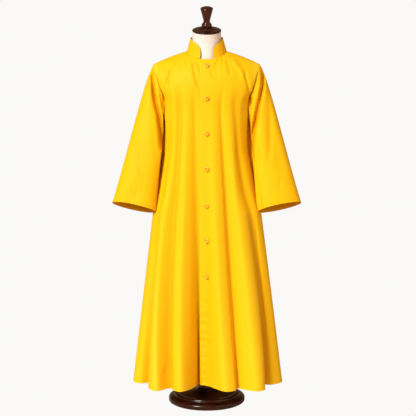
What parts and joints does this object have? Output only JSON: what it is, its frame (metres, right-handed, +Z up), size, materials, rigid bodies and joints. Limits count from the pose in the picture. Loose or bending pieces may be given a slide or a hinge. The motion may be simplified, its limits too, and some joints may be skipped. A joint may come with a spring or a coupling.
{
  "type": "choir cassock on a dress form",
  "caption": "Long flared choir cassock with stand collar, wide sleeves and a buttoned front, on a limbless dress form with turned wooden base.",
  "frame": {"origin": "centre of the base's underside, on the floor", "axes": "+Z up, -Y the front of the garment, +X the wearer's left"},
  "size_m": [0.768, 0.4249, 1.6255],
  "materials": {
    "cloth": "plain woven poplin, matt, bright yellow",
    "button": "moulded, glossy, dyed to match the cloth",
    "jersey": "cream jersey drawn over padding, matt",
    "dark_wood": "turned, dark mahogany stain, satin varnish"
  },
  "bodies": {
    "root": {"front_right": "cloth", "front_left": "cloth", "back": "cloth", "sleeve_left": "cloth", "sleeve_right": "cloth", "collar": "cloth", "button_1": "button", "button_2": "button", "button_3": "button", "button_4": "button", "button_5": "button", "button_6": "button", "button_7": "button", "form": "jersey", "neck_cap": "dark_wood", "finial": "dark_wood", "base": "dark_wood", "post": "dark_wood"}
  },
  "joints": []
}
